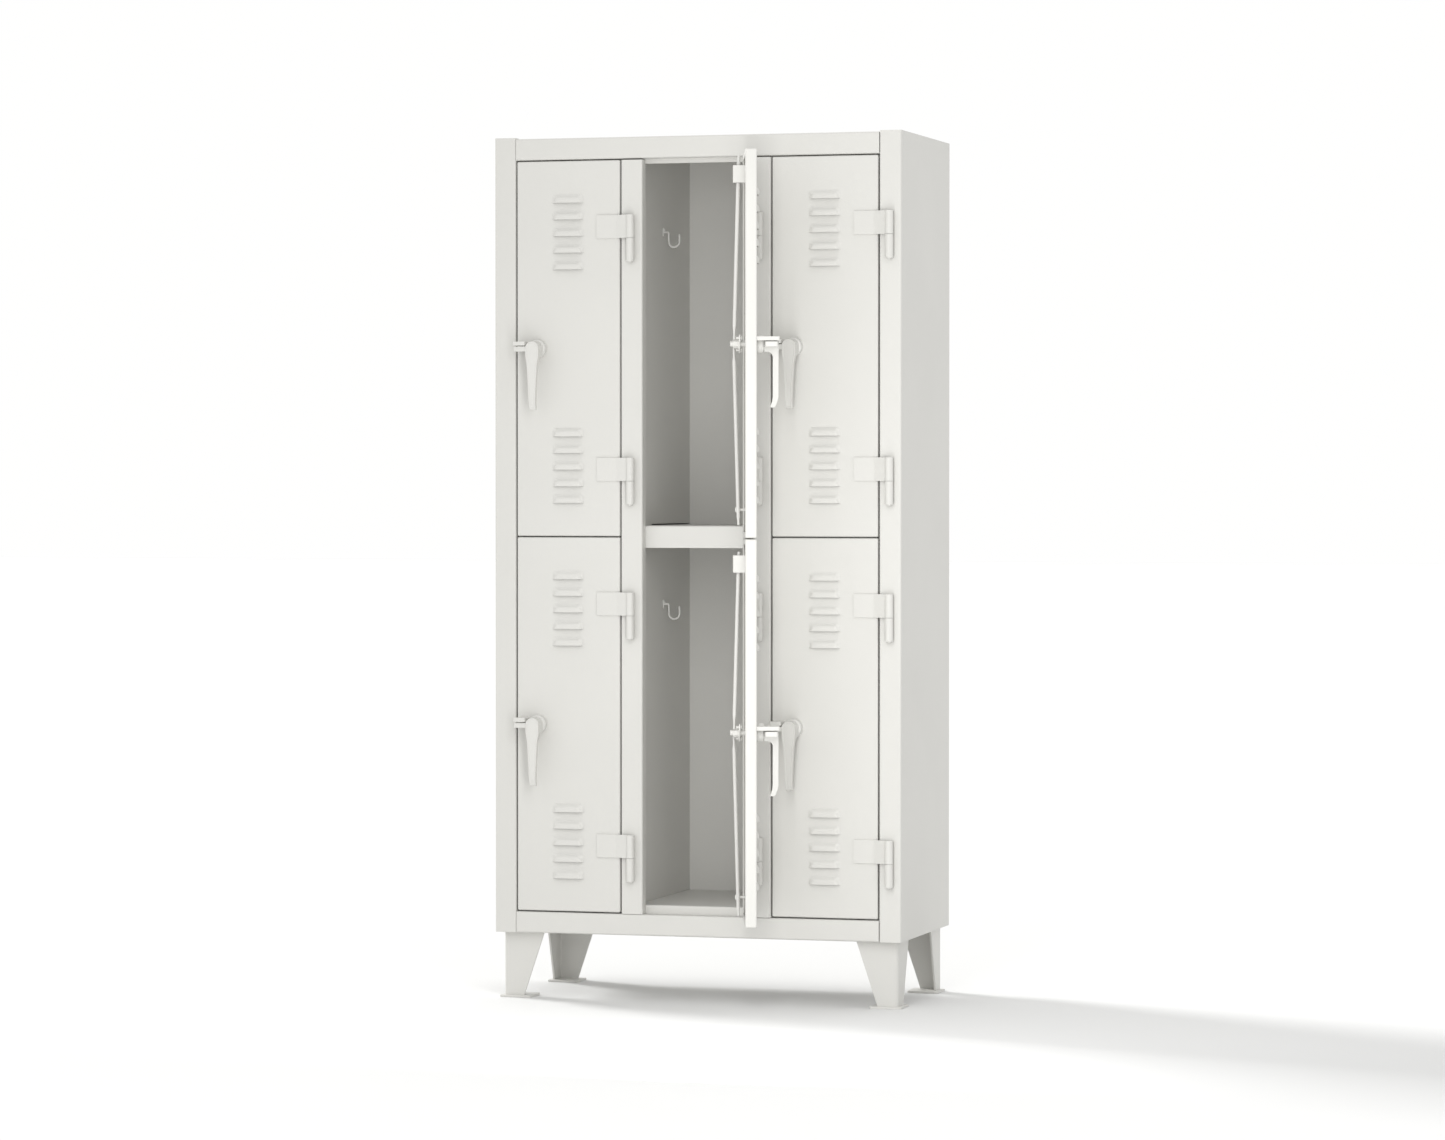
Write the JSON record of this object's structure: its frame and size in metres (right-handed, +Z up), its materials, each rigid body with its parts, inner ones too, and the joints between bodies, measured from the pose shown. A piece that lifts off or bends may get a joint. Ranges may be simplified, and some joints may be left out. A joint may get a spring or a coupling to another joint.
{
  "type": "locker cabinet",
  "caption": "Double-tier steel locker cabinet with hinged louvred doors, padlock handles, latch rods and coat hooks, standing on tapered angle legs.",
  "frame": {"origin": "on the floor, under the middle of the whole cabinet with its middle doors standing open", "axes": "+Z up, +X to the right as seen from the front, front facing -Y"},
  "size_m": [0.9652, 0.7416, 1.9812],
  "materials": {
    "sheet_enamel": "satin off-white powder coat on folded sheet steel",
    "cast_enamel": "satin off-white powder coat on castings and hooks",
    "rod_enamel": "off-white powder coat on drawn rod"
  },
  "bodies": {
    "root": {"left_side_panel": "sheet_enamel", "right_side_panel": "sheet_enamel", "back_panel": "sheet_enamel", "top_panel": "sheet_enamel", "base_pan": "sheet_enamel", "floor_panel": "sheet_enamel", "tier_shelf": "sheet_enamel", "left_partition": "sheet_enamel", "right_partition": "sheet_enamel", "left_divider_post": "sheet_enamel", "right_divider_post": "sheet_enamel", "front_left_leg": "sheet_enamel", "front_right_leg": "sheet_enamel", "rear_left_leg": "sheet_enamel", "rear_right_leg": "sheet_enamel", "upper_left_upper_hinge_pin": "sheet_enamel", "upper_left_lower_hinge_pin": "sheet_enamel", "upper_left_coat_hook": "cast_enamel", "upper_middle_upper_hinge_pin": "sheet_enamel", "upper_middle_lower_hinge_pin": "sheet_enamel", "upper_middle_coat_hook": "cast_enamel", "upper_right_upper_hinge_pin": "sheet_enamel", "upper_right_lower_hinge_pin": "sheet_enamel", "upper_right_coat_hook": "cast_enamel", "lower_left_upper_hinge_pin": "sheet_enamel", "lower_left_lower_hinge_pin": "sheet_enamel", "lower_left_coat_hook": "cast_enamel", "lower_middle_upper_hinge_pin": "sheet_enamel", "lower_middle_lower_hinge_pin": "sheet_enamel", "lower_middle_coat_hook": "cast_enamel", "lower_right_upper_hinge_pin": "sheet_enamel", "lower_right_lower_hinge_pin": "sheet_enamel", "lower_right_coat_hook": "cast_enamel"},
    "upper_left_door": {"upper_left_door": "sheet_enamel"},
    "upper_left_handle": {"upper_left_handle": "cast_enamel"},
    "upper_left_upper_rod": {"upper_left_upper_rod": "rod_enamel"},
    "upper_left_lower_rod": {"upper_left_lower_rod": "rod_enamel"},
    "upper_middle_door": {"upper_middle_door": "sheet_enamel"},
    "upper_middle_handle": {"upper_middle_handle": "cast_enamel"},
    "upper_middle_upper_rod": {"upper_middle_upper_rod": "rod_enamel"},
    "upper_middle_lower_rod": {"upper_middle_lower_rod": "rod_enamel"},
    "upper_right_door": {"upper_right_door": "sheet_enamel"},
    "upper_right_handle": {"upper_right_handle": "cast_enamel"},
    "upper_right_upper_rod": {"upper_right_upper_rod": "rod_enamel"},
    "upper_right_lower_rod": {"upper_right_lower_rod": "rod_enamel"},
    "lower_left_door": {"lower_left_door": "sheet_enamel"},
    "lower_left_handle": {"lower_left_handle": "cast_enamel"},
    "lower_left_upper_rod": {"lower_left_upper_rod": "rod_enamel"},
    "lower_left_lower_rod": {"lower_left_lower_rod": "rod_enamel"},
    "lower_middle_door": {"lower_middle_door": "sheet_enamel"},
    "lower_middle_handle": {"lower_middle_handle": "cast_enamel"},
    "lower_middle_upper_rod": {"lower_middle_upper_rod": "rod_enamel"},
    "lower_middle_lower_rod": {"lower_middle_lower_rod": "rod_enamel"},
    "lower_right_door": {"lower_right_door": "sheet_enamel"},
    "lower_right_handle": {"lower_right_handle": "cast_enamel"},
    "lower_right_upper_rod": {"lower_right_upper_rod": "rod_enamel"},
    "lower_right_lower_rod": {"lower_right_lower_rod": "rod_enamel"}
  },
  "joints": [
    {"name": "upper_left_door_swing", "type": "hinge", "parent": "root", "child": "upper_left_door", "pos_m": [-0.1524, -0.09745, 1.49628], "axis": [0, 0, 1], "range_deg": [0, 125]},
    {"name": "upper_left_handle_turn", "type": "hinge", "parent": "upper_left_door", "child": "upper_left_handle", "pos_m": [-0.3768, -0.08645, 1.49628], "axis": [0, -1, 0], "range_deg": [0, 90]},
    {"name": "upper_left_upper_rod_slide", "type": "slide", "parent": "upper_left_door", "child": "upper_left_upper_rod", "axis": [0, 0, -1], "range_m": [0, 0.0262]},
    {"name": "upper_left_lower_rod_slide", "type": "slide", "parent": "upper_left_door", "child": "upper_left_lower_rod", "axis": [0, 0, 1], "range_m": [0, 0.0262]},
    {"name": "upper_middle_door_swing", "type": "hinge", "parent": "root", "child": "upper_middle_door", "pos_m": [0.1524, -0.09745, 1.49628], "axis": [0, 0, 1], "range_deg": [-107.5, 17.5]},
    {"name": "upper_middle_handle_turn", "type": "hinge", "parent": "upper_middle_door", "child": "upper_middle_handle", "pos_m": [0.20939, -0.31477, 1.49628], "axis": [0.9537, 0.3007, 0], "range_deg": [0, 90]},
    {"name": "upper_middle_upper_rod_slide", "type": "slide", "parent": "upper_middle_door", "child": "upper_middle_upper_rod", "axis": [0, 0, -1], "range_m": [0, 0.0262]},
    {"name": "upper_middle_lower_rod_slide", "type": "slide", "parent": "upper_middle_door", "child": "upper_middle_lower_rod", "axis": [0, 0, 1], "range_m": [0, 0.0262]},
    {"name": "upper_right_door_swing", "type": "hinge", "parent": "root", "child": "upper_right_door", "pos_m": [0.4572, -0.09745, 1.49628], "axis": [0, 0, 1], "range_deg": [0, 180]},
    {"name": "upper_right_handle_turn", "type": "hinge", "parent": "upper_right_door", "child": "upper_right_handle", "pos_m": [0.2328, -0.08645, 1.49628], "axis": [0, -1, 0], "range_deg": [0, 90]},
    {"name": "upper_right_upper_rod_slide", "type": "slide", "parent": "upper_right_door", "child": "upper_right_upper_rod", "axis": [0, 0, -1], "range_m": [0, 0.0262]},
    {"name": "upper_right_lower_rod_slide", "type": "slide", "parent": "upper_right_door", "child": "upper_right_lower_rod", "axis": [0, 0, 1], "range_m": [0, 0.0262]},
    {"name": "lower_left_door_swing", "type": "hinge", "parent": "root", "child": "lower_left_door", "pos_m": [-0.1524, -0.09745, 0.63382], "axis": [0, 0, 1], "range_deg": [0, 125]},
    {"name": "lower_left_handle_turn", "type": "hinge", "parent": "lower_left_door", "child": "lower_left_handle", "pos_m": [-0.3768, -0.08645, 0.63382], "axis": [0, -1, 0], "range_deg": [0, 90]},
    {"name": "lower_left_upper_rod_slide", "type": "slide", "parent": "lower_left_door", "child": "lower_left_upper_rod", "axis": [0, 0, -1], "range_m": [0, 0.0262]},
    {"name": "lower_left_lower_rod_slide", "type": "slide", "parent": "lower_left_door", "child": "lower_left_lower_rod", "axis": [0, 0, 1], "range_m": [0, 0.0262]},
    {"name": "lower_middle_door_swing", "type": "hinge", "parent": "root", "child": "lower_middle_door", "pos_m": [0.1524, -0.09745, 0.63382], "axis": [0, 0, 1], "range_deg": [-107.5, 17.5]},
    {"name": "lower_middle_handle_turn", "type": "hinge", "parent": "lower_middle_door", "child": "lower_middle_handle", "pos_m": [0.20939, -0.31477, 0.63382], "axis": [0.9537, 0.3007, 0], "range_deg": [0, 90]},
    {"name": "lower_middle_upper_rod_slide", "type": "slide", "parent": "lower_middle_door", "child": "lower_middle_upper_rod", "axis": [0, 0, -1], "range_m": [0, 0.0262]},
    {"name": "lower_middle_lower_rod_slide", "type": "slide", "parent": "lower_middle_door", "child": "lower_middle_lower_rod", "axis": [0, 0, 1], "range_m": [0, 0.0262]},
    {"name": "lower_right_door_swing", "type": "hinge", "parent": "root", "child": "lower_right_door", "pos_m": [0.4572, -0.09745, 0.63382], "axis": [0, 0, 1], "range_deg": [0, 180]},
    {"name": "lower_right_handle_turn", "type": "hinge", "parent": "lower_right_door", "child": "lower_right_handle", "pos_m": [0.2328, -0.08645, 0.63382], "axis": [0, -1, 0], "range_deg": [0, 90]},
    {"name": "lower_right_upper_rod_slide", "type": "slide", "parent": "lower_right_door", "child": "lower_right_upper_rod", "axis": [0, 0, -1], "range_m": [0, 0.0262]},
    {"name": "lower_right_lower_rod_slide", "type": "slide", "parent": "lower_right_door", "child": "lower_right_lower_rod", "axis": [0, 0, 1], "range_m": [0, 0.0262]}
  ],
  "couplings": [
    {"joint": "upper_left_upper_rod_slide", "follows": "upper_left_handle_turn", "m_per_rad": 0.016552},
    {"joint": "upper_left_lower_rod_slide", "follows": "upper_left_handle_turn", "m_per_rad": 0.016552},
    {"joint": "upper_middle_upper_rod_slide", "follows": "upper_middle_handle_turn", "m_per_rad": 0.016552},
    {"joint": "upper_middle_lower_rod_slide", "follows": "upper_middle_handle_turn", "m_per_rad": 0.016552},
    {"joint": "upper_right_upper_rod_slide", "follows": "upper_right_handle_turn", "m_per_rad": 0.016552},
    {"joint": "upper_right_lower_rod_slide", "follows": "upper_right_handle_turn", "m_per_rad": 0.016552},
    {"joint": "lower_left_upper_rod_slide", "follows": "lower_left_handle_turn", "m_per_rad": 0.016552},
    {"joint": "lower_left_lower_rod_slide", "follows": "lower_left_handle_turn", "m_per_rad": 0.016552},
    {"joint": "lower_middle_upper_rod_slide", "follows": "lower_middle_handle_turn", "m_per_rad": 0.016552},
    {"joint": "lower_middle_lower_rod_slide", "follows": "lower_middle_handle_turn", "m_per_rad": 0.016552},
    {"joint": "lower_right_upper_rod_slide", "follows": "lower_right_handle_turn", "m_per_rad": 0.016552},
    {"joint": "lower_right_lower_rod_slide", "follows": "lower_right_handle_turn", "m_per_rad": 0.016552}
  ]
}
